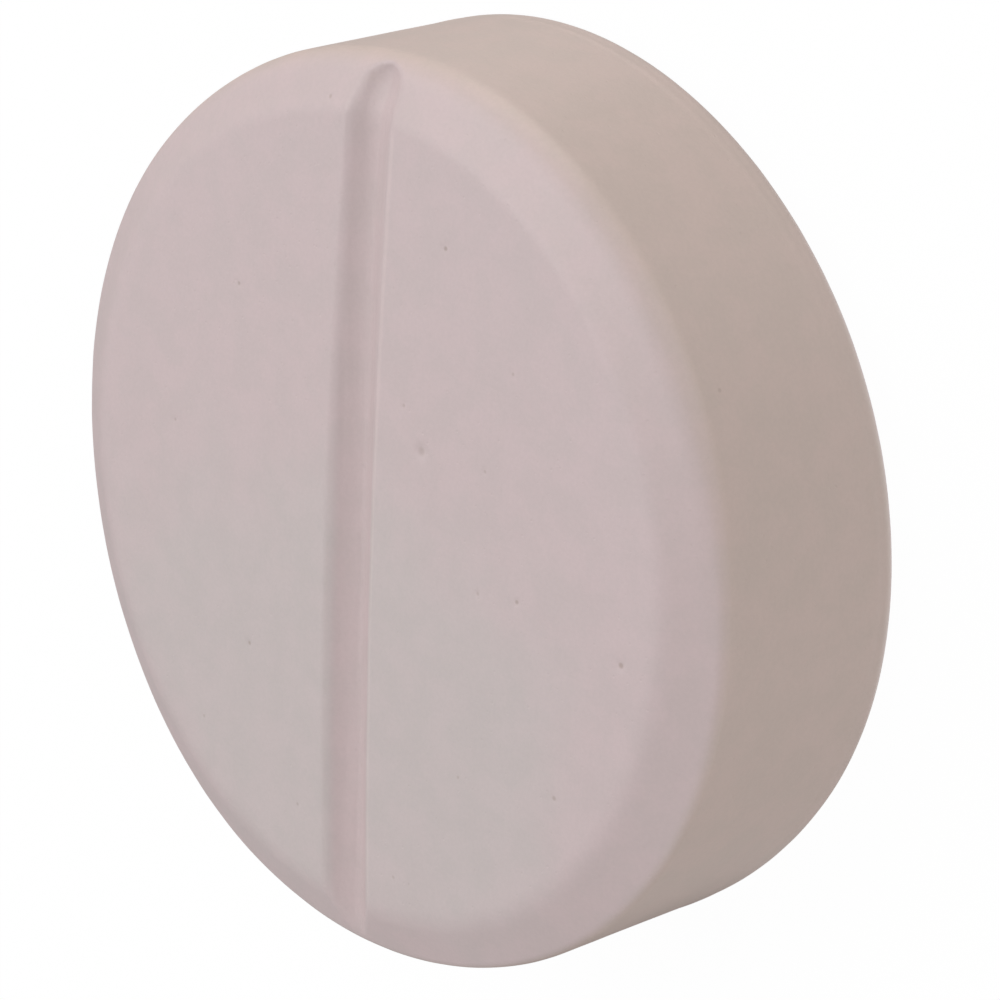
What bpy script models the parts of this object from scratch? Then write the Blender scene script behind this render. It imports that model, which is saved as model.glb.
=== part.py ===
"""Tablet-shaped squeeze toy (stress reliever) in self-skinning polyurethane foam.

The toy lies on its plain back: origin in the middle of the back face, +Z up through
the scored front face, +Y along the score. Metres.

One moulding, cut into the zones that move differently when it is squeezed:
  front_skin   scored face, bevel and rounded front edge (moves down when squeezed)
  side_skin    the band of the drafted side wall that shortens
  back_skin    plain back face, rounded back edge and parting line
  foam_core    the open-cell filling

Profiles are lists of (radius, z) points that run from the front, down the side, to
the back.
"""

import math

import bmesh
import bpy

MM = 0.001

# ---- body ---------------------------------------------------------------------------
THICK = 19.4 * MM  # back face to front face
FRONT_R = 32.2 * MM  # radius where the side meets the front bevel, before rounding
BACK_R = 33.0 * MM  # the same at the back: the side has mould draft
BEVEL_W = 3.8 * MM  # radial width of the front bevel
BEVEL_D = 1.8 * MM  # axial depth of the front bevel
BACK_BEVEL_W = BEVEL_W
BACK_BEVEL_D = BEVEL_D
FACE_ROUND = 8.0 * MM  # rounding between face and bevel
RIM_ROUND = 1.9 * MM  # rounding between bevel and side
MIN_ROUND = 0.4 * MM  # least rounding on the inset surfaces

# ---- zones --------------------------------------------------------------------------
SKIN = 1.0 * MM  # integral skin
GAP = 0.3 * MM  # clearance between neighbouring zones
FRONT_SEAM_Z = 15.9 * MM  # middle of the gap between front_skin and side_skin
BACK_SEAM_Z = 4.6 * MM  # middle of the gap between side_skin and back_skin
FRONT_SKIN_LOW = FRONT_SEAM_Z + GAP / 2
SIDE_SKIN_TOP = FRONT_SEAM_Z - GAP / 2
SIDE_SKIN_LOW = BACK_SEAM_Z + GAP / 2
BACK_SKIN_TOP = BACK_SEAM_Z - GAP / 2

# ---- mesh density -------------------------------------------------------------------
SEGMENTS = 72  # round the axis
OUTER_STEPS = 4  # faces across a rounding on the outside
INNER_STEPS = 2  # and on the inset surfaces
SIDE_ROWS = 2  # rows of faces up side_skin
SHARP_ANGLE = math.radians(35)
MERGE_DIST = 1e-7

# ---- score across the front ---------------------------------------------------------
SCORE_HALF = 2.4 * MM  # half width of the score at the surface
SCORE_FLOOR = 0.9 * MM  # half width of its floor
SCORE_DEPTH = 1.15 * MM
SCORE_FULL = 29.6 * MM  # full section up to this distance from the middle
SCORE_END = 31.1 * MM  # the score stops here, just inside the rim
SCORE_END_DEPTH = 0.1  # share of the full section at its end
SCORE_END_WIDTH = 0.55  # share of the width that a section of no depth would keep
SCORE_RUN_OUT = (0.45, 0.8, 1.0)  # stations, as shares of the way from FULL to END
CUTTER_ABOVE = 0.6 * MM  # how far the cutter stands over the surface

# Distances from the middle where score and rib have their full section
FULL_STATIONS = [y * MM for y in (0.0, 9.3, 18.6, 26.9, 27.9, 28.8)] + [SCORE_FULL]

# ---- rib under the score ------------------------------------------------------------
RIB_TOP_HALF = SCORE_HALF + 0.5 * SKIN
RIB_LOW_HALF = SCORE_FLOOR + 0.75 * SKIN
RIB_TOP_DEPTH = 0.5 * SKIN  # its top edges, below the front surface
RIB_LOW_DEPTH = SCORE_DEPTH + SKIN
RIB_LOWEST_Z = FRONT_SKIN_LOW + 0.25 * MM
RIB_RUN_OUT = [(30.5 * MM, 0.9), (31.7 * MM, 0.7)]  # distance, share of full width
RIB_CUTTER_LIFT = 1.5 * MM  # extra height of the cutter that clears the foam

# ---- details of the back ------------------------------------------------------------
BEAD_Z = 3.65 * MM  # parting line of the mould, round the back edge
BEAD_HALF = 0.55 * MM
BEAD_PROUD = 0.18 * MM
BEAD_STEPS = (-1.0, -0.5, 0.0, 0.5, 1.0)  # top to bottom, in half heights

POUR_R = 2.6 * MM  # trimmed pour spot, a shallow round flat
POUR_DEPTH = 0.35 * MM
POUR_Y = -20.0 * MM
POUR_SIDES = 24
POUR_CUTTER_BELOW = 1.0 * MM  # how far the cutter reaches out of the back face


# ---- scene and materials ------------------------------------------------------------
def clear_scene():
    for obj in list(bpy.data.objects):
        bpy.data.objects.remove(obj, do_unlink=True)


def material(name, colour, roughness, subsurface=0.0):
    mat = bpy.data.materials.new(name)
    mat.use_nodes = True
    shader = mat.node_tree.nodes["Principled BSDF"]
    shader.inputs["Base Color"].default_value = (*colour, 1.0)
    shader.inputs["Roughness"].default_value = roughness
    shader.inputs["Metallic"].default_value = 0.0
    shader.inputs["Subsurface Weight"].default_value = subsurface
    mat.diffuse_color = (*colour, 1.0)
    return mat


# ---- profile geometry ---------------------------------------------------------------
def unit(start, end):
    """Unit direction from start to end."""
    length = math.hypot(end[0] - start[0], end[1] - start[1])
    return ((end[0] - start[0]) / length, (end[1] - start[1]) / length)


def line_meet(start_a, dir_a, start_b, dir_b):
    """Where two lines meet, each given by a point and a direction."""
    cross = dir_a[0] * dir_b[1] - dir_a[1] * dir_b[0]
    across = (start_b[0] - start_a[0]) * dir_b[1] - (start_b[1] - start_a[1]) * dir_b[0]
    along = across / cross
    return (start_a[0] + dir_a[0] * along, start_a[1] + dir_a[1] * along)


def inset(corners, distance):
    """The corners of a profile, moved inwards."""
    lines = []
    for start, end in zip(corners, corners[1:]):
        along = unit(start, end)
        inwards = (along[1], -along[0])
        moved = (start[0] + inwards[0] * distance, start[1] + inwards[1] * distance)
        lines.append((moved, along))
    meets = [line_meet(*line, *following) for line, following in zip(lines, lines[1:])]
    return [(0.0, lines[0][0][1])] + meets + [(0.0, lines[-1][0][1])]


def rounded(before, corner, after, radius, steps):
    """An arc of the radius in place of the corner."""
    back = unit(corner, before)
    ahead = unit(corner, after)
    half_angle = math.acos(back[0] * ahead[0] + back[1] * ahead[1]) / 2
    reach = radius / math.tan(half_angle)  # from the corner to the ends of the arc
    middle = unit((0.0, 0.0), (back[0] + ahead[0], back[1] + ahead[1]))
    centre_r = corner[0] + middle[0] * radius / math.sin(half_angle)
    centre_z = corner[1] + middle[1] * radius / math.sin(half_angle)

    def arc_angle(direction):
        return math.atan2(
            corner[1] + direction[1] * reach - centre_z,
            corner[0] + direction[0] * reach - centre_r,
        )

    start = arc_angle(back)
    turn = (arc_angle(ahead) - start + math.pi) % (2 * math.pi) - math.pi
    angles = [start + turn * i / steps for i in range(steps + 1)]
    return [
        (centre_r + radius * math.cos(angle), centre_z + radius * math.sin(angle))
        for angle in angles
    ]


# ---- profiles of the tablet ---------------------------------------------------------
def outline(depth):
    """The six corners of the tablet's profile, this far below its surface."""
    corners = [
        (0.0, THICK),
        (FRONT_R - BEVEL_W, THICK),
        (FRONT_R, THICK - BEVEL_D),
        (BACK_R, BACK_BEVEL_D),
        (BACK_R - BACK_BEVEL_W, 0.0),
        (0.0, 0.0),
    ]
    return inset(corners, depth) if depth else corners


def rounded_corner(corners, index, full_radius, depth):
    """One corner of the outline, with its rounding reduced by the depth."""
    radius = max(full_radius - depth, MIN_ROUND)
    steps = INNER_STEPS if depth else OUTER_STEPS
    return rounded(*corners[index - 1 : index + 2], radius, steps)


def side_point(corners, z):
    """The point of the straight side at this height."""
    (r0, z0), (r1, z1) = corners[2], corners[3]
    return (r0 + (r1 - r0) * (z - z0) / (z1 - z0), z)


def front_half(depth, seam_z):
    """Profile from the middle of the front face down to the seam."""
    corners = outline(depth)
    face_arc = rounded_corner(corners, 1, FACE_ROUND, depth)
    rim_arc = rounded_corner(corners, 2, RIM_ROUND, depth)
    return [corners[0]] + face_arc + rim_arc + [side_point(corners, seam_z)]


def back_half(depth, seam_z, bead=0.0):
    """Profile from the seam down and in to the middle of the back face."""
    corners = outline(depth)
    points = [side_point(corners, seam_z)]
    if bead:
        for step in BEAD_STEPS:
            r, z = side_point(corners, BEAD_Z - step * BEAD_HALF)
            points.append((r + bead * math.cos(step * math.pi / 2) ** 2, z))
    rim_arc = rounded_corner(corners, 3, RIM_ROUND, depth)
    face_arc = rounded_corner(corners, 4, FACE_ROUND, depth)
    return points + rim_arc + face_arc + [corners[5]]


def surface_z(radius):
    """Height of the front surface at a distance from the axis."""
    points = front_half(0.0, FRONT_SEAM_Z)
    for (r0, z0), (r1, z1) in zip(points, points[1:]):
        if r0 <= radius <= r1 and r1 > r0:
            return z0 + (z1 - z0) * (radius - r0) / (r1 - r0)
    return points[-1][1]


# ---- solids -------------------------------------------------------------------------
def finish_mesh(name, bm):
    """Turn the bmesh into an object, smooth but for its sharp edges."""
    bmesh.ops.recalc_face_normals(bm, faces=bm.faces)
    mesh = bpy.data.meshes.new(name)
    bm.to_mesh(mesh)
    bm.free()
    obj = bpy.data.objects.new(name, mesh)
    bpy.context.scene.collection.objects.link(obj)
    mesh.shade_smooth()
    mesh.set_sharp_from_angle(angle=SHARP_ANGLE)
    return obj


def revolve(name, profile, closed=False):
    """A solid of revolution about Z; a profile clear of the axis has to be closed."""
    bm = bmesh.new()
    verts = [bm.verts.new((r, 0.0, z)) for r, z in profile]
    edges = [bm.edges.new(pair) for pair in zip(verts, verts[1:])]
    if closed:
        edges.append(bm.edges.new((verts[-1], verts[0])))
    bmesh.ops.spin(
        bm,
        geom=verts + edges,
        cent=(0.0, 0.0, 0.0),
        axis=(0.0, 0.0, 1.0),
        angle=2 * math.pi,
        steps=SEGMENTS,
        use_merge=True,
        use_duplicate=False,
    )
    # Points on the axis were copied at every step.
    bmesh.ops.remove_doubles(bm, verts=bm.verts, dist=MERGE_DIST)
    bmesh.ops.dissolve_degenerate(bm, edges=bm.edges, dist=MERGE_DIST)
    return finish_mesh(name, bm)


def helper_loft(name, rings):
    """A capped solid through rings of equal count, hidden: it only guides a Boolean."""
    bm = bmesh.new()
    rows = [[bm.verts.new(point) for point in ring] for ring in rings]
    count = len(rows[0])
    for row, following in zip(rows, rows[1:]):
        for i in range(count):
            j = (i + 1) % count
            bm.faces.new((row[i], row[j], following[j], following[i]))
    bm.faces.new(rows[0])
    bm.faces.new(list(reversed(rows[-1])))
    obj = finish_mesh(name, bm)
    obj.hide_render = True
    obj.display_type = "WIRE"
    return obj


def boolean(obj, other, operation):
    mod = obj.modifiers.new(operation.lower(), "BOOLEAN")
    mod.operation = operation
    mod.solver = "EXACT"
    mod.object = other


# ---- score and rib ------------------------------------------------------------------
def both_ways(run_out):
    """(y, share) stations from -Y to +Y: the full section with a run-out at each end."""
    stations = [(y, 1.0) for y in FULL_STATIONS] + run_out
    return [(-y, share) for y, share in reversed(stations[1:])] + stations


def channel_ring(y, top_half, top_z, low_half, low_z):
    """A four-cornered section across the score."""
    return [
        (-top_half, y, top_z),
        (-low_half, y, low_z),
        (low_half, y, low_z),
        (top_half, y, top_z),
    ]


def score_rings():
    """Rings of the score's cutter, which follows the front surface from end to end."""
    run_out = []
    for way in SCORE_RUN_OUT:
        y = SCORE_FULL + (SCORE_END - SCORE_FULL) * way
        share = math.sqrt(1.0 - way * way) * (1.0 - SCORE_END_DEPTH) + SCORE_END_DEPTH
        run_out.append((y, share))

    flare = (SCORE_HALF - SCORE_FLOOR) / SCORE_DEPTH * CUTTER_ABOVE
    rings = []
    for y, share in both_ways(run_out):
        z = surface_z(abs(y))
        width = SCORE_END_WIDTH + (1.0 - SCORE_END_WIDTH) * share
        rings.append(
            channel_ring(
                y,
                top_half=SCORE_HALF * width + flare,
                top_z=z + CUTTER_ABOVE,
                low_half=SCORE_FLOOR * width,
                low_z=z - SCORE_DEPTH * share,
            )
        )
    return rings


def rib_rings(extra=0.0, lift=0.0):
    """Rings of the rib that keeps the skin whole under the score.

    The rib starts inside the skin, hangs into the foam and runs out in the side wall.
    Its sides and underside are enlarged by extra, and its top is raised by lift."""
    rings = []
    for y, share in both_ways(RIB_RUN_OUT):
        z = surface_z(abs(y))
        rings.append(
            channel_ring(
                y,
                top_half=RIB_TOP_HALF * share + extra,
                top_z=z - RIB_TOP_DEPTH + lift,
                low_half=RIB_LOW_HALF * share + extra,
                low_z=max(z - RIB_LOW_DEPTH, RIB_LOWEST_Z) - extra,
            )
        )
    return rings


# ---- the zones ----------------------------------------------------------------------
def build_front(mat):
    """front_skin with its two helpers, which have to move with it."""
    outer = front_half(0.0, FRONT_SKIN_LOW)
    inner = front_half(SKIN, FRONT_SKIN_LOW)
    obj = revolve("front_skin", outer + inner[::-1])
    rib = helper_loft("score_rib", rib_rings())
    cutter = helper_loft("score_cutter", score_rings())
    # The rib goes on first, so that the score is cut into it too.
    boolean(obj, rib, "UNION")
    boolean(obj, cutter, "DIFFERENCE")
    obj.data.materials.append(mat)
    return obj, rib, cutter


def build_side(mat):
    height = SIDE_SKIN_LOW - SIDE_SKIN_TOP
    levels = [SIDE_SKIN_TOP + height * i / SIDE_ROWS for i in range(SIDE_ROWS + 1)]
    outer = [side_point(outline(0.0), z) for z in levels]
    inner = [side_point(outline(SKIN), z) for z in levels]
    obj = revolve("side_skin", outer + inner[::-1], closed=True)
    obj.data.materials.append(mat)


def pour_ring(z):
    angles = [2 * math.pi * (i + 0.5) / POUR_SIDES for i in range(POUR_SIDES)]
    return [(POUR_R * math.cos(a), POUR_Y + POUR_R * math.sin(a), z) for a in angles]


def build_back(mat):
    outer = back_half(0.0, BACK_SKIN_TOP, BEAD_PROUD)
    inner = back_half(SKIN, BACK_SKIN_TOP)
    obj = revolve("back_skin", inner[::-1] + outer)
    rings = [pour_ring(-POUR_CUTTER_BELOW), pour_ring(POUR_DEPTH)]
    boolean(obj, helper_loft("pour_spot_cutter", rings), "DIFFERENCE")
    obj.data.materials.append(mat)


def build_core(mat):
    depth = SKIN + GAP
    middle = THICK / 2
    profile = front_half(depth, middle) + back_half(depth, middle)[1:]
    obj = revolve("foam_core", profile)
    cutter = helper_loft("rib_clearance_cutter", rib_rings(GAP, RIB_CUTTER_LIFT))
    boolean(obj, cutter, "DIFFERENCE")
    obj.data.materials.append(mat)


def hang_on_squeeze_axis(objects):
    """Parent the objects to an empty on the front face; the squeeze slides along -Z."""
    axis = bpy.data.objects.new("squeeze_axis", None)
    axis.location = (0.0, 0.0, THICK)
    bpy.context.scene.collection.objects.link(axis)
    for obj in objects:
        obj.parent = axis
        obj.location = (0.0, 0.0, -THICK)


def main():
    clear_scene()
    skin = material(
        "moulded_skin", colour=(0.565, 0.485, 0.475), roughness=0.72, subsurface=0.05
    )
    side = material(
        "moulded_skin_side", colour=(0.55, 0.475, 0.455), roughness=0.74, subsurface=0.05
    )
    back = material(
        "moulded_skin_back", colour=(0.56, 0.48, 0.465), roughness=0.74, subsurface=0.05
    )
    foam = material("open_cell_foam", colour=(0.68, 0.60, 0.56), roughness=0.95)

    front_objects = build_front(skin)
    build_side(side)
    build_back(back)
    build_core(foam)
    hang_on_squeeze_axis(front_objects)


main()
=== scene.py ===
"""Builds a tablet-shaped foam squeeze toy: a moulded skin in three zones over a foam filling.

The tablet lies flat on z = 0 with its axis along Z. The front is the scored face, on top (+Z);
the back is the resting face, below. The score runs along Y; its top end is at +Y, its left at -X.
Shapes are worked out in millimetres, and meshes are written in metres.
"""

import itertools
import math

import bpy
import numpy as np
from mathutils import Matrix, Vector


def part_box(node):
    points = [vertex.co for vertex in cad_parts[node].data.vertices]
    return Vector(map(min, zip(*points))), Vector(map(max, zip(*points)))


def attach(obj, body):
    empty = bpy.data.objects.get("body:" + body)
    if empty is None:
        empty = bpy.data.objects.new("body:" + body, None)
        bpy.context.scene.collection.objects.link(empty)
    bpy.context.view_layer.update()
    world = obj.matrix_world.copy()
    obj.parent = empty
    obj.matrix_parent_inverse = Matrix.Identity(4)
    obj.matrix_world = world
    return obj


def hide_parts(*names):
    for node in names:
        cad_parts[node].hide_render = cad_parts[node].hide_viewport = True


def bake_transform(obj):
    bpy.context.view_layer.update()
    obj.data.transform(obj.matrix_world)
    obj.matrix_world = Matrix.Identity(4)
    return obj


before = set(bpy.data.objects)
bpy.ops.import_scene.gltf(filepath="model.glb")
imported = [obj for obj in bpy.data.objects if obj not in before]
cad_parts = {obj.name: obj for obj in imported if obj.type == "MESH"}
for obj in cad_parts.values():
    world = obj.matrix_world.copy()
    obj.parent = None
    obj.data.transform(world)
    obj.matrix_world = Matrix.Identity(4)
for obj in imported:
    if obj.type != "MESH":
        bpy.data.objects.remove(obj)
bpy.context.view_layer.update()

MM = 0.001

# ------------------------------------------------------------------ sizes, in mm
front_low, front_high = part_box("front_skin")
side_low, side_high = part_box("side_skin")
back_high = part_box("back_skin")[1]

THICK = front_high.z / MM
SEAM_F = (front_low.z + side_high.z) / 2 / MM  # front zone meets side zone
SEAM_B = (side_low.z + back_high.z) / 2 / MM  # side zone meets back zone

FRONT_R = 32.2  # corner of bevel and side wall, front
BACK_R = 33.0  # the same at the back
BEVEL_W = 3.8
BEVEL_D = 1.8
FLAT_R = FRONT_R - BEVEL_W  # where the front bevel begins

# Roundings of the creases between face and bevel and of the two rims
FACE_ROUND = 4.5
RIM_ROUND = 1.1
BACK_ROUND = 1.6
LEAST_ROUND = 0.5
# Towards the direction SOFT_AT the front crease is crisper and the front rim softer
SOFT_FACE = 2.2
SOFT_RIM = 2.7
SOFT_AT = math.radians(76)
SOFT_INSET = 3.0  # the change starts this far inside the bevel
SOFT_LOW = 11.0  # and ends at this height on the wall
# Towards STEEP_AT the bevel drops a little further
STEEP = 0.44
STEEP_AT = math.radians(8)
STEEP_FADE = 1.6  # height above the front seam over which the drop sets in

SKIN = 1.0
GAP = 0.3  # between skin and filling

# Raised mould line round the back edge
BEAD_Z = 3.65
BEAD_HALF = 0.55
BEAD_PROUD = 0.03
BEAD_MIN_R = 31.0

# The score is a round, slightly bowed cut. At the top it follows the bevel down and ends in a
# blunt nose; at the bottom it runs straight out of the bevel.
SCORE_DEPTH = 1.35
SCORE_RISE = 0.24  # how much shallower it gets towards the top
SCORE_RISE_END = 20.0
# Lines of its deepest point and edges: x at SCORE_MID_Y, then the linear and the square term
# of (y - SCORE_MID_Y) / SCORE_UNIT
SCORE_MID_Y = -2.0
SCORE_UNIT = 20.0
SCORE_MIDDLE = (-0.22, -0.02, 0.34)
SCORE_LEFT = (-2.56, 0.13, 0.43)
SCORE_RIGHT = (1.97, 0.0, 0.31)
SCORE_POWER_LEFT = 1.8  # roundness of each half of its section
SCORE_POWER_RIGHT = 1.45
SCORE_SOFT_LEFT = 0.45  # softness of its shoulders
SCORE_SOFT_RIGHT = 0.30
SCORE_SOFT_UNDER = 0.6
SCORE_END = 32.0
SCORE_NOSE = 5.0
SCORE_REACH = 5.0  # the cutter acts within this x

# Round hollow in the back
POUR_Y = -20.0
POUR_R = 2.6
POUR_DEPTH = 0.35
POUR_MARGIN = 0.7  # fine rows reach this far beyond it

# Mesh row spacing (plain, fine) of the outside, the inside of the skin and the filling
OUTER_PITCH = (0.34, 0.21)
INNER_PITCH = (2.2, 1.1)
CORE_PITCH = (0.9, 0.6)
BEAD_PITCH = 0.17
POUR_PITCH = 0.19
CREASE_SWEEP = 0.45  # radians allowed for when a rounding is divided
RIM_SWEEP = 1.2
# Steps round the axis in degrees: fine near the Y axis, coarser between
ANGLE_FINE = 0.27
ANGLE_COARSE = 0.64
ANGLE_CHANGE = (8.0, 18.0)
CORE_ANGLE = 1.5

# How far the front and back edges are out of round: growth of the radius, then
# (waves per turn, cosine part, sine part)
WOBBLE_FRONT_SIZE = 0.04
WOBBLE_FRONT = [(1, 0.02, -0.03), (2, -0.06, 0.03), (3, 0.05, -0.03), (4, -0.10, -0.11)]
WOBBLE_BACK_SIZE = -0.08
WOBBLE_BACK = [
    (1, 0.02, -0.04), (2, 0.03, 0.03), (3, 0.09, -0.08),
    (4, 0.12, -0.04), (5, 0.04, -0.02), (6, -0.06, -0.05),
]

# Small pits in the scored face: x, y, radius, depth
PITS = [
    (8.3, 21.1, 0.26, 0.10), (-12.4, 14.3, 0.24, 0.08), (-10.7, -12.1, 0.26, 0.09),
    (16.1, -0.8, 0.25, 0.09), (12.5, -1.3, 0.22, 0.06), (25.5, -2.2, 0.34, 0.10),
    (6.6, 6.95, 0.5, 0.15), (4.8, 9.7, 0.22, 0.06), (-3.6, 28.9, 0.24, 0.07),
    (-5.1, -22.8, 0.22, 0.06), (20.3, -13.2, 0.28, 0.08), (5.2, -24.7, 0.22, 0.06),
    (6.8, -24.6, 0.16, 0.04), (12.7, 7.2, 0.2, 0.06), (14.9, 14.3, 0.2, 0.06),
    (11.3, -14.9, 0.2, 0.06), (-19.4, 2.6, 0.2, 0.06), (-15.8, -19.5, 0.22, 0.06),
]


# ------------------------------------------------------------------ noise
def lattice(x, y, z, seed):
    """A repeatable value in 0..1 for each lattice point (64-bit whole numbers)."""
    value = (x * 374761393 + y * 668265263 + z * 2147483647 + seed * 1274126177) & 0xFFFFFFFF
    value = ((value ^ (value >> 13)) * 1274126177) & 0xFFFFFFFF
    value = ((value ^ (value >> 16)) * 2246822519) & 0xFFFFFFFF
    return ((value ^ (value >> 15)) & 0xFFFFFF) / float(0xFFFFFF)


def noise(points, wavelength, seed):
    """Smooth value noise in -1..1 at points (n, 3)."""
    scaled = points / wavelength + 137.31
    base = np.floor(scaled)
    part = scaled - base
    ease = part * part * part * (part * (part * 6 - 15) + 10)
    base = base.astype(np.int64)
    total = np.zeros(len(points))
    for corner in itertools.product((0, 1), repeat=3):
        weight = np.where(corner, ease, 1 - ease)
        x, y, z = (base + corner).T
        total += weight[:, 0] * weight[:, 1] * weight[:, 2] * lattice(x, y, z, seed)
    return total * 2 - 1


def smoothstep(value, start, stop):
    t = np.clip((value - start) / (stop - start), 0, 1)
    return t * t * (3 - 2 * t)


# ------------------------------------------------------------------ profile of the tablet
# Profile points are (radius, z), running from the middle of the front to that of the back.
def cross(first, second):
    return first[0] * second[1] - first[1] * second[0]


def offset_corners(corners, distance):
    """The corners of the outline with every side moved inwards."""
    lines = []
    for start, end in zip(corners, corners[1:]):
        start = np.array(start, float)
        along = np.array(end, float) - start
        along /= np.linalg.norm(along)
        lines.append((start + np.array((along[1], -along[0])) * distance, along))
    moved = [(0.0, lines[0][0][1])]
    for (start, along), (next_start, next_along) in zip(lines, lines[1:]):
        step = cross(next_start - start, next_along) / cross(along, next_along)
        moved.append(tuple(start + along * step))
    moved.append((0.0, lines[-1][0][1]))
    return moved


def corners_at(depth):
    """Corners of the profile at a depth below the outer surface."""
    corners = [
        (0.0, THICK),
        (FLAT_R, THICK),
        (FRONT_R, THICK - BEVEL_D),
        (BACK_R, BEVEL_D),
        (BACK_R - BEVEL_W, 0.0),
        (0.0, 0.0),
    ]
    return offset_corners(corners, depth) if depth else corners


def wall_point(corners, z):
    """The point of the side wall at a height."""
    (top_r, top_z), (low_r, low_z) = corners[2:4]
    return np.array((top_r + (low_r - top_r) * (z - top_z) / (low_z - top_z), z))


def arc(before, corner, after, radius, steps):
    """Points of the rounding of a corner between two straight sides."""
    corner = np.array(corner, float)
    back = np.array(before, float) - corner
    ahead = np.array(after, float) - corner
    back = back / np.linalg.norm(back)
    ahead = ahead / np.linalg.norm(ahead)
    angle = math.acos(np.clip(back @ ahead, -1, 1))
    reach = radius / math.tan(angle / 2)
    middle = back + ahead
    centre = corner + middle / np.linalg.norm(middle) * radius / math.sin(angle / 2)
    start = corner + back * reach - centre
    end = corner + ahead * reach - centre
    first = math.atan2(start[1], start[0])
    last = math.atan2(end[1], end[0])
    turn = (last - first + math.pi) % (2 * math.pi) - math.pi
    sweep = first + turn * np.linspace(0, 1, steps + 1)
    return np.stack([centre[0] + radius * np.cos(sweep), centre[1] + radius * np.sin(sweep)], 1)


def span(start, end, pitch):
    """Points from start (left out) to end along a straight line."""
    start = np.array(start, float)
    end = np.array(end, float)
    count = max(1, int(math.ceil(np.linalg.norm(end - start) / pitch)))
    return start + (end - start) * np.linspace(0, 1, count + 1)[1:, None]


def profile(depth, pitch, fine):
    """The profile at a depth, and the rows of the front and back seams."""
    corners = corners_at(depth)

    def rounding(index, radius, sweep, spacing):
        radius = max(radius - depth, LEAST_ROUND)
        steps = max(3, int(radius * sweep / spacing))
        return arc(*corners[index - 1:index + 2], radius, steps)

    front_crease = rounding(1, FACE_ROUND, CREASE_SWEEP, fine)
    front_rim = rounding(2, RIM_ROUND, RIM_SWEEP, fine * 0.6)
    back_rim = rounding(3, BACK_ROUND, RIM_SWEEP, fine * 0.6)
    back_crease = rounding(4, FACE_ROUND, CREASE_SWEEP, fine)
    seam_f = wall_point(corners, SEAM_F)
    seam_b = wall_point(corners, SEAM_B)

    parts = [
        np.array([corners[0]], float),
        span(corners[0], front_crease[0], pitch),
        front_crease[1:],
        span(front_crease[-1], front_rim[0], fine),
        front_rim[1:],
        span(front_rim[-1], seam_f, fine * 1.5),
    ]
    row_front = sum(len(part) for part in parts) - 1
    parts.append(span(seam_f, seam_b, pitch))
    row_back = row_front + len(parts[-1])
    parts += [
        span(seam_b, back_rim[0], fine if depth else min(fine, BEAD_PITCH)),
        back_rim[1:],
        span(back_rim[-1], back_crease[0], fine),
        back_crease[1:],
    ]
    if depth:
        parts.append(span(back_crease[-1], corners[5], pitch))
    else:  # finer rows across the hollow in the back
        far = (POUR_R + abs(POUR_Y) + POUR_MARGIN, 0.0)
        near = (abs(POUR_Y) - POUR_R - POUR_MARGIN, 0.0)
        parts += [
            span(back_crease[-1], far, pitch * 1.3),
            span(far, near, POUR_PITCH),
            span(near, corners[5], pitch * 2.0),
        ]
    points = np.vstack(parts)
    points[0, 0] = points[-1, 0] = 0.0
    return points, (row_front, row_back)


def path_length(points):
    steps = np.linalg.norm(np.diff(points, axis=0), axis=1)
    return np.concatenate([[0], np.cumsum(steps)])


def softened(points, seam_row):
    """The same rows on the profile with the soft rim, matched by length along the curve."""
    corners = corners_at(0.0)
    crease = arc(*corners[:3], SOFT_FACE, 24)
    rim = arc(*corners[1:4], SOFT_RIM, 48)
    inner_r = FLAT_R - SOFT_INSET
    curve = np.vstack([[[inner_r, THICK]], crease, rim, [wall_point(corners, SOFT_LOW)]])
    length = path_length(curve)

    radius, z = points[:, 0], points[:, 1]
    first = int(np.argmax((radius > inner_r) & (z > THICK / 2))) - 1
    last = int(np.argmax((z < SOFT_LOW) & (radius > FRONT_R - 2))) - 1
    own = path_length(points)
    # np.interp wants rising values, so heights that fall along the curve are negated
    falling = len(crease)
    start = np.interp(points[first, 0], curve[:2, 0], length[:2])
    seam = np.interp(-SEAM_F, -curve[falling:, 1], length[falling:])
    stop = np.interp(-points[last, 1], -curve[-2:, 1], length[-2:])
    rows = slice(first, last + 1)
    wanted = np.interp(own[rows], [own[first], own[seam_row], own[last]], [start, seam, stop])
    result = points.copy()
    result[rows, 0] = np.interp(wanted, length, curve[:, 0])
    result[rows, 1] = np.interp(wanted, length, curve[:, 1])
    return result


def curve_normals(points):
    """Outward normals: up on the front, out on the side, down on the back."""
    along = np.gradient(points, axis=0)
    along[0] = (1, 0)
    along[-1] = (-1, 0)
    normals = np.stack([-along[:, 1], along[:, 0]], 1)
    return normals / np.linalg.norm(normals, axis=1)[:, None]


# ------------------------------------------------------------------ surfaces
def directions():
    """Directions round the axis, closer together near the Y axis: score ends and hollow."""
    quadrant = [0.0]
    while quadrant[-1] < 90.0:
        coarse = float(smoothstep(quadrant[-1], *ANGLE_CHANGE))
        quadrant.append(quadrant[-1] + ANGLE_FINE + (ANGLE_COARSE - ANGLE_FINE) * coarse)
    from_y = np.array(quadrant) * (90.0 / quadrant[-1])
    to_y = 90.0 - from_y[::-1][:-1]
    from_y = from_y[:-1]
    return np.radians(np.concatenate([to_y, 90 + from_y, 180 + to_y, 270 + from_y]))


def revolve(radius, height, theta):
    """A grid (rows, directions, 3) from columns of radius and height."""
    parts = np.broadcast_arrays(radius * np.cos(theta), radius * np.sin(theta), height)
    return np.stack(parts, -1)


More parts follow.
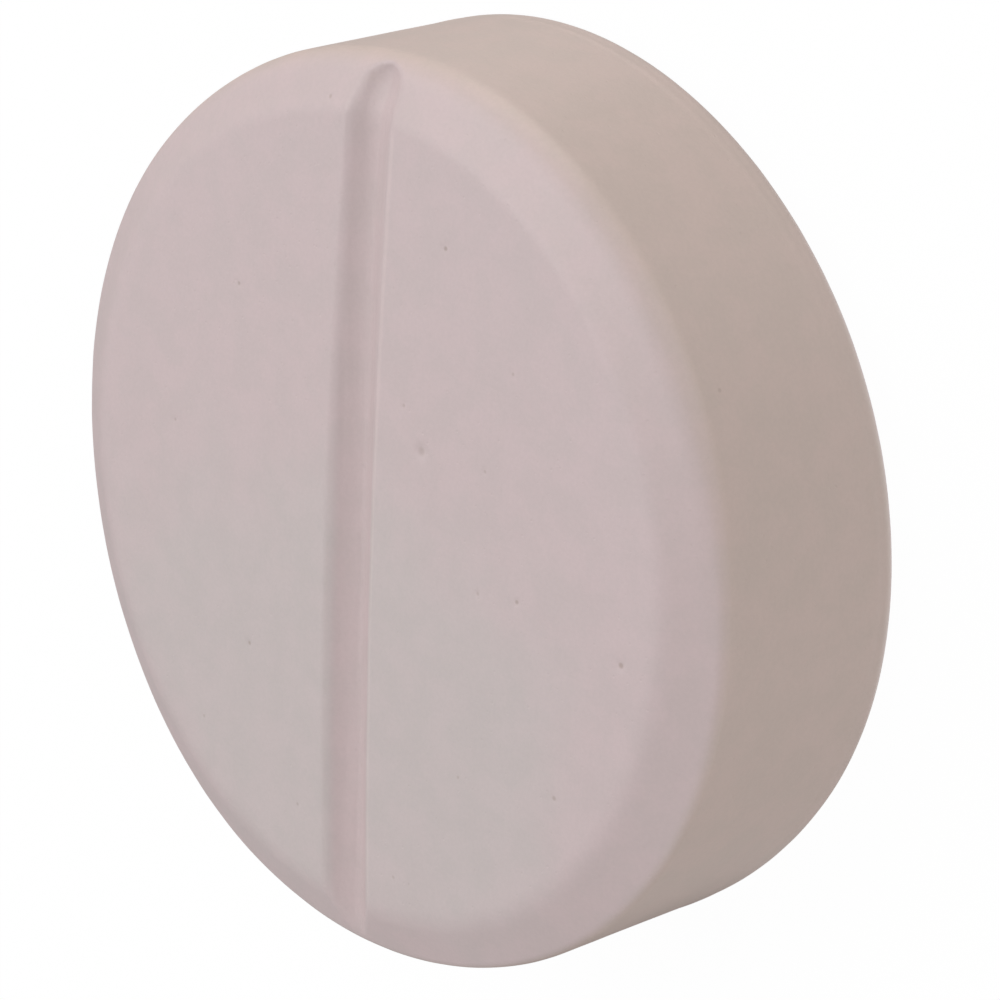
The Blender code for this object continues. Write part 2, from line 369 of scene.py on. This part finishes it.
def cut_height(x, y, widen=0.0, deepen=0.0):
    """The height of the score's cutter at x, y."""
    along = (y - SCORE_MID_Y) / SCORE_UNIT
    middle, left, right = (
        line[0] + line[1] * along + line[2] * along * along
        for line in (SCORE_MIDDLE, SCORE_LEFT, SCORE_RIGHT)
    )
    side = x - middle
    reach = np.where(side < 0, middle - left, right - middle)
    power = np.where(side < 0, SCORE_POWER_LEFT, SCORE_POWER_RIGHT)
    depth = SCORE_DEPTH - SCORE_RISE * smoothstep(y, 0.0, SCORE_RISE_END) + deepen
    past = np.abs(y) - FLAT_R
    down_bevel = BEVEL_D / BEVEL_W * 0.5 * (past + np.sqrt(past * past + 0.6))
    follow = np.where(y > 0, down_bevel, 0.0)
    nose = np.clip((y - SCORE_END + SCORE_NOSE) / SCORE_NOSE, 0, 2) ** 5
    return THICK - follow - depth * (1 - (np.abs(side) / (reach + widen)) ** power - nose)


def scored(z, cut, soft):
    """The lower of the surface and the cutter, with a soft shoulder between them."""
    blend = np.clip(0.5 + 0.5 * (z - cut) / soft, 0, 1)
    return z * (1 - blend) + cut * blend - soft * blend * (1 - blend)


def follow_score(flat, front, depth, widen, deepen):
    """Lowers the front points of an inner surface to stay a depth below the score."""
    under = cut_height(flat[:, 0], flat[:, 1], widen, deepen) - depth
    flat[:, 2] = np.where(front, scored(flat[:, 2], under, SCORE_SOFT_UNDER), flat[:, 2])


def edge_shift(size, waves, phi):
    for count, cosine, sine in waves:
        size = size + cosine * np.cos(count * phi) + sine * np.sin(count * phi)
    return size


def out_of_round(flat):
    """Sideways shift of points: cast foam doesn't leave its mould quite round."""
    phi = np.arctan2(flat[:, 1], flat[:, 0])
    radius = np.hypot(flat[:, 0], flat[:, 1])
    front = edge_shift(WOBBLE_FRONT_SIZE, WOBBLE_FRONT, phi)
    back = edge_shift(WOBBLE_BACK_SIZE, WOBBLE_BACK, phi)
    down = np.clip((THICK - BEVEL_D - flat[:, 2]) / (THICK - 2 * BEVEL_D), 0, 1)
    move = (front * (1 - down) + back * down) * np.clip(radius / BACK_R, 0, 1) ** 3
    return np.stack([np.cos(phi) * move, np.sin(phi) * move, np.zeros(len(flat))], 1)


def swell(flat):
    """The slow unevenness of a foam moulding, in mm."""
    return (0.050 * noise(flat, wavelength=24.0, seed=11)
            + 0.025 * noise(flat, wavelength=11.0, seed=12))


def peel(flat):
    """The fine unevenness of the skin, in mm."""
    return (0.009 * noise(flat, wavelength=3.1, seed=13)
            + 0.0045 * noise(flat, wavelength=1.3, seed=14))


def mould_line(flat, radius):
    """Height of the mould line round the back edge, uneven as trimmed flash is."""
    phi = np.arctan2(flat[:, 1], flat[:, 0])
    around = np.stack([np.cos(phi) * BACK_R, np.sin(phi) * BACK_R, np.zeros(len(flat))], 1)
    middle = BEAD_Z + 0.10 * noise(around, wavelength=17.0, seed=21)
    uneven = 1 + 0.35 * noise(around, wavelength=6.0, seed=22)
    proud = BEAD_PROUD * (uneven + 0.2 * noise(around, wavelength=2.0, seed=23))
    across = (flat[:, 2] - middle) / BEAD_HALF
    inside = (np.abs(across) < 1) & (radius > BEAD_MIN_R)
    return np.where(inside, proud * np.cos(across * np.pi / 2) ** 2, 0.0)


def cut_score(out, flat, front):
    """Cuts the score, with fine drag marks along its floor."""
    x, y = flat[:, 0], flat[:, 1]
    marks = noise(flat * (1, 0.02, 0), wavelength=0.34, seed=31)
    marks += 0.6 * noise(flat * (1, 0.05, 0), wavelength=0.8, seed=32)
    cut = cut_height(x, y) + marks * 0.018
    soft = SCORE_SOFT_LEFT + (SCORE_SOFT_RIGHT - SCORE_SOFT_LEFT) * smoothstep(x, -1.0, 1.0)
    near = front & (np.abs(x) < SCORE_REACH) & (out[:, 2] > THICK - BEVEL_D - 0.6)
    out[:, 2] = np.where(near, scored(out[:, 2], cut, soft), out[:, 2])


def pit_depth(flat, front):
    drop = np.zeros(len(flat))
    for x, y, radius, depth in PITS:
        away = ((flat[:, 0] - x) ** 2 + (flat[:, 1] - y) ** 2) / (radius * radius)
        drop += np.where(front & (away < 12), depth * np.exp(-away), 0.0)
    return drop


def hollow_depth(flat):
    """Depth of the round hollow in the back, with a cellular floor."""
    away = np.hypot(flat[:, 0], flat[:, 1] - POUR_Y)
    cup = POUR_DEPTH * (1 - smoothstep(away, POUR_R - 0.35, POUR_R + 0.05))
    level = flat * (1, 1, 0)
    cells = noise(level, wavelength=0.42, seed=41) + 0.7 * noise(level, wavelength=0.8, seed=42)
    cup = cup + np.where(away < POUR_R - 0.3, 0.07 * cells, 0.0)
    inside = (flat[:, 2] < SEAM_B) & (away < POUR_R + 0.1)
    return np.where(inside, np.maximum(cup, 0.0), 0.0)


def outer_surface(points, soft_points, theta):
    """The outside as a grid (rows, directions, 3), displaced from the turned shape."""
    softness = smoothstep(np.cos(theta - SOFT_AT), 0.05, 0.85)
    radius = points[:, :1] * (1 - softness) + soft_points[:, :1] * softness
    z = points[:, 1:] * (1 - softness) + soft_points[:, 1:] * softness
    steep = np.clip(np.cos(theta - STEEP_AT), 0, 1) ** 2 * STEEP
    down_bevel = np.clip((radius - FRONT_R + BEVEL_W) / BEVEL_W, 0, 1)
    z = z - steep * down_bevel * smoothstep(z, SEAM_F, SEAM_F + STEEP_FADE)
    grid = revolve(radius, z, theta)
    flat = grid.reshape(-1, 3)
    across = curve_normals(points)
    normal = revolve(across[:, :1], across[:, 1:], theta).reshape(-1, 3)

    move = swell(flat)
    # the resting face stays nearly flat
    rho = np.hypot(flat[:, 0], flat[:, 1])
    rest = (flat[:, 2] < 0.05) & (rho < BACK_R)
    move[rest] = np.minimum(move[rest] * 0.25, 0.0)
    move += peel(flat) * np.where(rest, 0.4, 1.0)
    move += mould_line(flat, rho)
    out = flat + normal * move[:, None] + out_of_round(flat)

    front = flat[:, 2] > SEAM_F
    cut_score(out, flat, front)
    out[:, 2] -= pit_depth(flat, front)
    out[:, 2] += hollow_depth(flat)
    return out.reshape(grid.shape)


def inner_surface(points, theta):
    """The plain inside of the skin, following the broad shape of the outside."""
    grid = revolve(points[:, :1], points[:, 1:], theta)
    flat = grid.reshape(-1, 3)
    front = flat[:, 2] > SEAM_F
    face = (np.hypot(flat[:, 0], flat[:, 1]) < FLAT_R - 1) & (flat[:, 2] > THICK / 2)
    flat[:, 2] += np.where(face, swell(flat), 0.0)
    flat += out_of_round(flat)
    follow_score(flat, front, SKIN, widen=1.0, deepen=0.05)
    return flat.reshape(grid.shape)


def core_surface(points, theta):
    """The lumpy, cellular surface of the filling, just clear of the skin."""
    grid = revolve(points[:, :1], points[:, 1:], theta)
    flat = grid.reshape(-1, 3)
    front = flat[:, 2] > THICK / 2
    across = curve_normals(points)
    normal = revolve(across[:, :1], across[:, 1:], theta).reshape(-1, 3)
    cells = 0.10 * np.abs(noise(flat, wavelength=1.7, seed=51))
    cells += 0.06 * np.abs(noise(flat, wavelength=0.9, seed=52))
    flat = flat - normal * (cells + 0.08)[:, None]
    flat += out_of_round(flat)
    follow_score(flat, front, SKIN + GAP, widen=1.6, deepen=0.15)
    return flat.reshape(grid.shape)


def grid_normals(grid):
    """Normals of a whole grid, so that neighbouring pieces shade alike at their seam."""
    down = np.gradient(grid, axis=0)
    around = (np.roll(grid, -1, 1) - np.roll(grid, 1, 1)) / 2
    normals = np.cross(down, around)
    normals = normals / np.maximum(np.linalg.norm(normals, axis=2, keepdims=True), 1e-12)
    for pole, ring in ((0, 1), (-1, -2)):
        normals[pole] = normals[ring].mean(0)
        normals[pole] /= np.linalg.norm(normals[pole], axis=1, keepdims=True)
    return normals


# ------------------------------------------------------------------ meshes
def add_object(name, data):
    obj = bpy.data.objects.new(name, data)
    bpy.context.scene.collection.objects.link(obj)
    return obj


class Build:
    """Collects grids of points into one closed mesh; every ring has ring_size points."""

    def __init__(self, ring_size):
        self.here = np.arange(ring_size)
        self.next = (self.here + 1) % ring_size
        self.points = []
        self.normals = []
        self.count = 0
        self.quads = []
        self.tris = [np.zeros((0, 3), int)]
        # whether each face takes the given normals
        self.quad_outer = []
        self.tri_outer = [np.zeros(0, bool)]

    def band(self, upper, lower, outer=False, flip=False):
        """Quads between two rings, given by their first points."""
        here, after = self.here, self.next
        quads = np.stack([upper + here, lower + here, lower + after, upper + after], 1)
        self.quads.append(quads[:, ::-1] if flip else quads)
        self.quad_outer.append(np.full(len(quads), outer))

    def fan(self, pole, ring, outer, flip):
        """Triangles between a single point and a ring."""
        tris = np.stack([np.full(len(self.here), pole), ring + self.here, ring + self.next], 1)
        self.tris.append(tris[:, ::-1] if flip else tris)
        self.tri_outer.append(np.full(len(tris), outer))

    def sheet(self, grid, first, last, normals=None):
        """Adds rows first..last of a grid, whose end rows are poles, and returns row starts.

        A sheet without normals faces inwards and keeps default shading."""
        outer = normals is not None
        if not outer:
            normals = np.zeros_like(grid)
        end = len(grid) - 1
        starts = []
        for row in range(first, last + 1):
            width = 1 if row in (0, end) else len(self.here)
            self.points.append(grid[row, :width])
            self.normals.append(normals[row, :width])
            starts.append(self.count)
            self.count += width
        for row, upper, lower in zip(range(first, last), starts, starts[1:]):
            if row == 0:
                self.fan(upper, lower, outer, flip=not outer)
            elif row + 1 == end:
                self.fan(lower, upper, outer, flip=outer)
            else:
                self.band(upper, lower, outer, flip=not outer)
        return starts

    def mesh(self, name):
        """The object made of everything collected so far."""
        points = np.vstack(self.points) * MM
        quads = np.vstack(self.quads)
        tris = np.vstack(self.tris)
        loops = np.concatenate([quads.ravel(), tris.ravel()]).astype(np.int32)
        starts = np.concatenate(
            [np.arange(len(quads)) * 4, len(quads) * 4 + np.arange(len(tris)) * 3]
        ).astype(np.int32)
        mesh = bpy.data.meshes.new(name)
        mesh.vertices.add(len(points))
        mesh.vertices.foreach_set("co", points.astype(np.float32).ravel())
        mesh.loops.add(len(loops))
        mesh.loops.foreach_set("vertex_index", loops)
        mesh.polygons.add(len(starts))
        mesh.polygons.foreach_set("loop_start", starts)
        mesh.update(calc_edges=True)
        mesh.validate(verbose=False)
        mesh.shade_smooth()
        # zero normals leave a face to default shading
        quad_outer = np.repeat(np.concatenate(self.quad_outer), 4)
        tri_outer = np.repeat(np.concatenate(self.tri_outer), 3)
        outer = np.concatenate([quad_outer, tri_outer])
        loop_normals = np.where(outer[:, None], np.vstack(self.normals)[loops], 0.0)
        mesh.set_sharp_from_angle(angle=math.radians(50))
        mesh.normals_split_custom_set(loop_normals.astype(np.float32).tolist())
        return add_object(name, mesh)


theta = directions()
outer_points, (outer_seam_f, outer_seam_b) = profile(0.0, *OUTER_PITCH)
outer_grid = outer_surface(outer_points, softened(outer_points, outer_seam_f), theta)
outer_normals = grid_normals(outer_grid)
inner_points, (inner_seam_f, inner_seam_b) = profile(SKIN, *INNER_PITCH)
inner_grid = inner_surface(inner_points, theta)
outer_end = len(outer_grid) - 1
inner_end = len(inner_grid) - 1


def skin(name, outer_rows, inner_rows):
    """One zone of the skin: outside, inside and the cut edges where it meets other zones."""
    build = Build(len(theta))
    outside = build.sheet(outer_grid, *outer_rows, outer_normals)
    inside = build.sheet(inner_grid, *inner_rows)
    if outer_rows[0] > 0:
        build.band(inside[0], outside[0])
    if outer_rows[1] < outer_end:
        build.band(outside[-1], inside[-1])
    return build.mesh(name)


def filling():
    """The open-cell foam inside."""
    points, _ = profile(SKIN + GAP, *CORE_PITCH)
    around = np.radians(np.arange(0, 360, CORE_ANGLE))
    grid = core_surface(points, around)
    build = Build(len(around))
    build.sheet(grid, 0, len(grid) - 1, grid_normals(grid))
    return build.mesh("foam_filling")


# ------------------------------------------------------------------ materials
class Nodes:
    """A short way to write the node tree of a material or world."""

    def __init__(self, owner):
        self.owner = owner
        owner.use_nodes = True
        self.tree = owner.node_tree
        self.tree.nodes.clear()

    def put(self, node, key, value):
        """Links or sets an input, given by its index or name."""
        if isinstance(value, bpy.types.NodeSocket):
            self.tree.links.new(value, node.inputs[key])
        else:
            node.inputs[key].default_value = value

    def node(self, kind, *ordered, settings=None, **named):
        """A node with its settings, then its inputs in order or by name."""
        node = self.tree.nodes.new("ShaderNode" + kind)
        for key, value in (settings or {}).items():
            setattr(node, key, value)
        for key, value in [*enumerate(ordered), *named.items()]:
            self.put(node, key, value)
        return node

    def math(self, operation, first, second=0.0):
        settings = {"operation": operation}
        return self.node("Math", first, second, 0.0, settings=settings).outputs[0]

    def add(self, first, second):
        return self.math("ADD", first, second)

    def minus(self, first, second):
        return self.math("SUBTRACT", first, second)

    def times(self, first, second):
        return self.math("MULTIPLY", first, second)

    def size(self, value):
        return self.math("ABSOLUTE", value)

    def above(self, value, limit):
        return self.math("GREATER_THAN", value, limit)

    def hypot(self, x, y):
        return self.math("SQRT", self.add(self.times(x, x), self.times(y, y)))

    def ramp(self, value, start, stop, before=0.0, after=1.0):
        """A smooth change from before to after while value goes from start to stop."""
        settings = {"interpolation_type": "SMOOTHSTEP"}
        ends = (start, stop, before, after)
        return self.node("MapRange", value, *ends, settings=settings).outputs[0]

    def fade(self, value, start, stop, before=1.0):
        return self.ramp(value, start, stop, before, after=0.0)

    def vector(self, operation, *ordered, **named):
        return self.node("VectorMath", *ordered, settings={"operation": operation}, **named)

    def millimetres(self):
        """The object coordinates in mm."""
        place = self.node("TexCoord").outputs["Object"]
        return self.vector("SCALE", place, Scale=1 / MM).outputs[0]

    def noise(self, vector, scale, detail=2.0, rough=0.5):
        inputs = {"Vector": vector, "Scale": scale, "Detail": detail, "Roughness": rough}
        return self.node("TexNoise", **inputs).outputs[0]

    def cells(self, vector, scale):
        """Distance to the nearest cell point, and the cell's random colour."""
        cells = self.node("TexVoronoi", Vector=vector, Scale=scale, Randomness=1.0)
        return cells.outputs["Distance"], cells.outputs["Color"]

    def mix(self, factor, first, second, mode="MIX"):
        settings = {"data_type": "RGBA", "blend_type": mode}
        node = self.node("Mix", factor, settings=settings)
        for key, value in ((6, first), (7, second)):  # the colour inputs
            self.put(node, key, (*value, 1.0) if isinstance(value, tuple) else value)
        return node.outputs[2]

    def tint(self, colour, tint):
        return self.mix(1.0, colour, tint, "MULTIPLY")

    def output(self, shader, kind="OutputMaterial"):
        self.node(kind, Surface=shader)

    def principled(self, colour, roughness, specular, normal):
        inputs = {"Base Color": colour, "Roughness": roughness,
                  "Specular IOR Level": specular, "Normal": normal}
        self.output(self.node("BsdfPrincipled", **inputs).outputs[0])

    def mix_shader(self, factor, first, second):
        return self.node("MixShader", factor, first.outputs[0], second.outputs[0])


FACE_PINK = (0.612, 0.504, 0.506)
FACE_GREY = (0.586, 0.512, 0.505)
EDGE_PINK = (0.600, 0.490, 0.490)
SIDE_WARM = (0.602, 0.482, 0.433)
# colour of the specks and of the painted shade in the pits
SPECK_AND_PIT_SHADE = (0.29, 0.20, 0.15)
# painted shade in the foam's bubble hollows, then the colour of their rims
FOAM_HOLLOW_SHADE = (0.50, 0.42, 0.36)
FOAM_LIGHT = (0.74, 0.66, 0.60)
# The grey cloud on the faces: x, y of its middle and its half sizes, in mm
CLOUD_AT = (-3.0, -14.0)
CLOUD_SIZE = (26.0, 17.0)
# Middle line of the score's colouring, with terms as in SCORE_MIDDLE
TINT_LINE = (-0.30, 0.07, 0.37)
SHOULDER_HIGHLIGHT_AT = 2.36  # painted highlight on the score's right shoulder, to the right of that line
FRONT_Z = THICK * 0.8  # colouring of the front lies above this height
PIT_Z = 14.0  # and the painted shade of the pits above this one


def beside_score(tree, x, y):
    """Distance to the right (+X) of the score's colour line."""
    along = tree.math("DIVIDE", tree.add(y, -SCORE_MID_Y), SCORE_UNIT)
    bow = tree.times(along, tree.add(TINT_LINE[1], tree.times(along, TINT_LINE[2])))
    return tree.minus(tree.minus(x, TINT_LINE[0]), bow)


def cloud_edge(tree, mm, x, y):
    """0 inside the grey cloud, 1 outside."""
    blotch = tree.noise(mm, scale=0.075, detail=3.0, rough=0.55)
    across = tree.math("DIVIDE", tree.add(x, -CLOUD_AT[0]), CLOUD_SIZE[0])
    along = tree.math("DIVIDE", tree.add(y, -CLOUD_AT[1]), CLOUD_SIZE[1])
    ragged = tree.times(tree.minus(blotch, 0.5), 0.9)
    return tree.ramp(tree.add(tree.hypot(across, along), ragged), start=0.62, stop=1.25)


def skin_specks(tree, mm):
    """Sparse small dark specks everywhere."""
    distance, random = tree.cells(mm, scale=0.17)
    dust = tree.minus(1.0, tree.ramp(distance, start=0.016, stop=0.034))
    chosen, strength, _ = tree.node("SeparateColor", Color=random).outputs
    dust = tree.times(dust, tree.above(chosen, 0.62))
    return tree.times(dust, tree.ramp(strength, start=0.0, stop=1.0, before=0.08, after=0.30))


def pit_shade_marks(tree, specks_and_pit_shade, pits, place):
    """Adds painted shade in the pits to the specks, darker the deeper the pit."""
    for x, y, radius, depth in pits:
        level = tree.node("CombineXYZ", X=place[0], Y=place[1], Z=0.0).outputs[0]
        away = tree.vector("DISTANCE", level, (x, y, 0.0)).outputs["Value"]
        dark = min(0.95, 4.2 * depth) if radius < 0.45 else 0.2  # the widest is hardly darker
        pit_shade = tree.fade(away, start=radius * 0.25, stop=radius * 0.85, before=dark)
        specks_and_pit_shade = tree.math("MAXIMUM", specks_and_pit_shade, tree.times(pit_shade, tree.above(place[2], PIT_Z)))
    return specks_and_pit_shade


def skin_relief(tree, mm, trough):
    """Orange peel, finer tooth and pores; the score is grittier."""
    peel_height = tree.noise(mm, scale=0.9, detail=3.0, rough=0.55)
    tooth = tree.noise(mm, scale=5.0, detail=2.0, rough=0.6)
    distance, random = tree.cells(mm, scale=1.6)
    chosen = tree.node("SeparateColor", Color=random).outputs[2]
    prick = tree.minus(1.0, tree.ramp(distance, start=0.05, stop=0.20))
    pore = tree.times(prick, tree.above(chosen, 0.80))
    bump = tree.node("Bump", Height=peel_height, Distance=0.00006, Strength=0.5)
    bump = tree.node("Bump", Height=tooth, Distance=0.00003, Normal=bump.outputs[0],
                     Strength=tree.add(0.17, tree.times(trough, 0.45)))
    bump = tree.node("Bump", Height=tree.times(pore, -1.0), Distance=0.00003, Strength=0.5,
                     Normal=bump.outputs[0])
    return bump.outputs[0]


def skin_material(name, pits):
    """Moulded polyurethane skin: matte, off-white with a pink cast, mottled, finely pored, with
    painted shade in the pits and a painted highlight on the score's right shoulder.
    """
    tree = Nodes(bpy.data.materials.new(name))
    mm = tree.millimetres()
    normal = tree.node("NewGeometry").outputs["Normal"]
    facing = tree.size(tree.node("SeparateXYZ", Vector=normal).outputs["Z"])
    place = tree.node("SeparateXYZ", Vector=mm).outputs
    x, y, z = place

    # broad colour: pink faces with a grey cloud, pinker bevel and score, warm side
    outside = cloud_edge(tree, mm, x, y)
    face = tree.mix(outside, FACE_GREY, FACE_PINK)
    radius = tree.hypot(x, y)
    beside = beside_score(tree, x, y)
    trough = tree.times(tree.fade(tree.size(beside), start=1.5, stop=2.2),
                        tree.ramp(z, start=THICK * 0.7, stop=FRONT_Z))
    slope = tree.times(tree.ramp(radius, start=FLAT_R - 1.0, stop=FLAT_R + 1.0),
                       tree.add(0.3, tree.times(outside, 0.7)))
    face = tree.mix(tree.math("MAXIMUM", slope, trough), face, EDGE_PINK)
    # the walls of the score keep the face's colour
    inside = tree.times(tree.fade(tree.size(beside), start=2.1, stop=2.8),
                        tree.fade(radius, start=30.0, stop=31.6))
    inside = tree.times(inside, tree.above(z, FRONT_Z))
    level = tree.ramp(facing, start=0.25, stop=0.985)
    colour = tree.mix(tree.math("MAXIMUM", level, inside), SIDE_WARM, face)

    # painted highlight: the right shoulder of the score is painted a little lighter, where it
    # catches the light
    from_highlight_line = tree.size(tree.minus(beside, SHOULDER_HIGHLIGHT_AT))
    shoulder_highlight = tree.times(tree.fade(from_highlight_line, start=0.06, stop=0.30),
                     tree.fade(radius, start=FLAT_R - 1.5, stop=FLAT_R + 0.5))
    shoulder_highlight = tree.times(shoulder_highlight, tree.above(z, FRONT_Z))
    colour = tree.mix(shoulder_highlight, colour, tree.tint(colour, (1.06, 1.06, 1.05)))

    # mottling and grain: a few per cent in value, a little in hue
    shifted = tree.vector("ADD", mm, (31.0, 7.0, 11.0)).outputs[0]
    patch = tree.noise(shifted, scale=0.33, detail=3.0, rough=0.6)
    mottling = tree.ramp(patch, start=0.36, stop=0.64)
    colour = tree.tint(colour, tree.mix(mottling, (0.980, 0.989, 0.984), (1.016, 1.008, 1.010)))
    grain = tree.noise(mm, scale=3.4, detail=3.0, rough=0.65)
    grain = tree.ramp(grain, start=0.3, stop=0.7)
    colour = tree.tint(colour, tree.mix(grain, (0.984,) * 3, (1.014,) * 3))

    # specks, and painted shade in the pits
    specks_and_pit_shade = pit_shade_marks(tree, skin_specks(tree, mm), pits, place)
    colour = tree.mix(specks_and_pit_shade, colour, SPECK_AND_PIT_SHADE)
    roughness = tree.add(0.42, tree.times(tree.minus(patch, 0.5), 0.16))
    tree.principled(colour, roughness, specular=0.42, normal=skin_relief(tree, mm, trough))
    return tree.owner


def foam_material(name):
    """Open-cell foam: matte, with bubbles of two sizes whose hollows are painted darker, a painted
    shade.
    """
    tree = Nodes(bpy.data.materials.new(name))
    mm = tree.millimetres()
    big, _ = tree.cells(mm, scale=1.1)
    small, _ = tree.cells(mm, scale=2.9)
    big = tree.ramp(big, start=0.12, stop=0.52)
    small = tree.ramp(small, start=0.10, stop=0.50)
    height = tree.add(tree.times(big, 0.7), tree.times(small, 0.3))
    patch = tree.noise(mm, scale=0.2)
    # painted shade: darker in the hollow of each bubble, lighter towards its rim
    colour = tree.mix(height, FOAM_HOLLOW_SHADE, FOAM_LIGHT)
    colour = tree.tint(colour, tree.mix(patch, (0.95, 0.95, 0.94), (1.04, 1.03, 1.02)))
    bump = tree.node("Bump", Height=height, Distance=0.00025, Strength=0.9)
    roughness = tree.add(0.85, tree.times(patch, 0.1))
    tree.principled(colour, roughness, specular=0.2, normal=bump.outputs[0])
    return tree.owner


# ------------------------------------------------------------------ pieces
front_piece = skin("front_skin_moulded", (0, outer_seam_f), (0, inner_seam_f))
side_piece = skin(
    "side_skin_moulded", (outer_seam_f, outer_seam_b), (inner_seam_f, inner_seam_b)
)
back_piece = skin("back_skin_moulded", (outer_seam_b, outer_end), (inner_seam_b, inner_end))
core_piece = filling()

front_piece.data.materials.append(skin_material("moulded_skin_front", PITS))
side_piece.data.materials.append(skin_material("moulded_skin_side", []))
back_piece.data.materials.append(skin_material("moulded_skin_back", []))
core_piece.data.materials.append(foam_material("open_cell_foam"))

CAD_NAMES = {
    "front_skin": front_piece,
    "side_skin": side_piece,
    "back_skin": back_piece,
    "foam_core": core_piece,
}
for cad_name, piece in CAD_NAMES.items():
    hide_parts(cad_name)
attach(front_piece, "front")
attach(back_piece, "back")
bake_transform(side_piece)
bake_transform(core_piece)


# ------------------------------------------------------------------ stage, in metres
FLOOR_HALF = 3.0
FLOOR_DROP = 0.00003


def panel(name, corners):
    """An object with a single four-sided face."""
    mesh = bpy.data.meshes.new(name)
    mesh.from_pydata(corners, [], [(0, 1, 2, 3)])
    return add_object(name, mesh)


def floor_material():
    """A bright, nearly shadowless sheet that isn't there from below."""
    tree = Nodes(bpy.data.materials.new("pale_floor"))
    below = tree.node("NewGeometry").outputs["Backfacing"]
    paper = tree.node("BsdfDiffuse", Color=(0.45, 0.45, 0.455, 1.0))
    glow = tree.node("Emission", Color=(1.0, 1.0, 1.0, 1.0), Strength=1.03)
    clear = tree.node("BsdfTransparent")
    sheet = tree.mix_shader(0.95, paper, glow)
    tree.output(tree.mix_shader(below, sheet, clear).outputs[0])
    return tree.owner


def make_floor():
    """A lit translucent table: it doesn't shade the toy from the lamps of the tent."""
    half = FLOOR_HALF
    floor = panel("floor", [(-half, -half, 0), (half, -half, 0), (half, half, 0), (-half, half, 0)])
    floor.location = (0, 0, -FLOOR_DROP)
    floor.visible_diffuse = False
    floor.visible_glossy = False
    floor.visible_shadow = False
    floor.visible_transmission = False
    floor.data.materials.append(floor_material())


def net_material():
    tree = Nodes(bpy.data.materials.new("grey_net"))
    clear = tree.node("BsdfTransparent")
    thread = tree.node("BsdfDiffuse", Color=(0.05, 0.05, 0.05, 1.0))
    tree.output(tree.mix_shader(0.62, clear, thread).outputs[0])
    return tree.owner


def make_scrim():
    """A small grey upright net just off the -Y edge, for a soft shade there."""
    outward = Vector((0.26, -0.9656, 0))
    across = Vector((0.9656, 0.26, 0))
    centre = outward * (BACK_R + 0.8) * MM + Vector((0, 0, 5 * MM))
    half = across * 13 * MM
    tall = Vector((0, 0, 11 * MM))
    corners = [centre - half - tall, centre + half - tall,
               centre + half + tall, centre - half + tall]
    scrim = panel("scrim", [tuple(corner) for corner in corners])
    scrim.visible_camera = False
    scrim.data.materials.append(net_material())


make_floor()
make_scrim()

# ------------------------------------------------------------------ camera
# It looks down at an angle, with the score running up the picture.
CAM_AT = Vector((0.140448, 0.067383, 0.145454))
CAM_RIGHT = Vector((0.69628, 0.03969, -0.71667))
CAM_UP = Vector((-0.26071, 0.94426, -0.20101))
CAM_BACK = Vector((0.66874, 0.32680, 0.66782))

camera_data = bpy.data.cameras.new("camera")
camera_data.sensor_width = 36.0
camera_data.lens = 105.54
camera_data.clip_start = 0.01
camera = add_object("camera", camera_data)
camera_axes = Matrix((CAM_RIGHT, CAM_UP, CAM_BACK)).transposed()
camera.matrix_world = Matrix.Translation(CAM_AT) @ camera_axes.to_4x4()
bpy.context.scene.camera = camera

# ------------------------------------------------------------------ lights
# A tent of soft lamps, strongest from above and from the left.
# name, direction from the toy by the camera's right, up and back, size, energy
TENT_DISTANCE = 0.8
TENT = [
    ("tent_top", (0.0, 1.0, 0.15), 0.5, 1.36),
    ("tent_upper_left", (-0.75, 0.65, 0.3), 0.5, 1.03),
    ("front_upper_left", (-0.5, 0.5, 0.8), 0.5, 0.86),
    ("front_left", (-0.6, 0.0, 0.8), 0.5, 0.70),
    ("side_left", (-0.88, 0.2, 0.5), 0.4, 0.84),
    ("edge_left", (-1.0, 0.0, 0.15), 0.5, 0.59),
    ("behind_left", (-1.0, 0.2, -0.35), 0.5, 0.22),
    ("behind_top", (0.0, 1.0, -0.4), 0.5, 0.29),
    ("front_upper_right", (0.5, 0.5, 0.8), 0.5, 0.55),
    ("tent_upper_right", (0.75, 0.65, 0.2), 0.5, 0.34),
    ("edge_right", (1.0, 0.0, 0.15), 0.5, 0.20),
    ("low_right", (0.75, -0.65, 0.3), 0.5, 0.72),
    ("tent_low", (0.0, -1.0, 0.3), 0.5, 0.96),
]


def square_lamp(name, size, energy):
    data = bpy.data.lights.new(name, "AREA")
    data.shape = "SQUARE"
    data.size = size
    data.energy = energy
    lamp = add_object(name, data)
    lamp.visible_camera = False
    return lamp


for lamp_name, (right, up, back), lamp_size, lamp_energy in TENT:
    lamp = square_lamp(lamp_name, lamp_size, lamp_energy)
    direction = (CAM_RIGHT * right + CAM_UP * up + CAM_BACK * back).normalized()
    lamp.location = Vector((0, 0, THICK * MM / 2)) + direction * TENT_DISTANCE
    lamp.rotation_mode = "QUATERNION"
    lamp.rotation_quaternion = (-direction).to_track_quat("-Z", "Y")

lamp = square_lamp("below", size=0.6, energy=1.0)
lamp.location = (0.1, -0.1, -0.7)
lamp.rotation_euler = (math.pi, 0, 0)

# ------------------------------------------------------------------ world and view
WHITE = (1, 1, 1, 1)


def make_world():
    """Plain white to the camera, dimmer ambient light for everything else."""
    tree = Nodes(bpy.data.worlds.new("studio"))
    seen_by_camera = tree.node("LightPath").outputs["Is Camera Ray"]
    seen = tree.node("Background", Color=WHITE)
    ambient = tree.node("Background", Color=WHITE, Strength=0.388)
    ambient.name = "ambient"
    mixed = tree.mix_shader(seen_by_camera, ambient, seen)
    tree.output(mixed.outputs[0], "OutputWorld")
    return tree.owner


bpy.context.scene.world = make_world()
bpy.context.scene.view_settings.view_transform = "Standard"
bpy.context.scene.view_settings.look = "None"
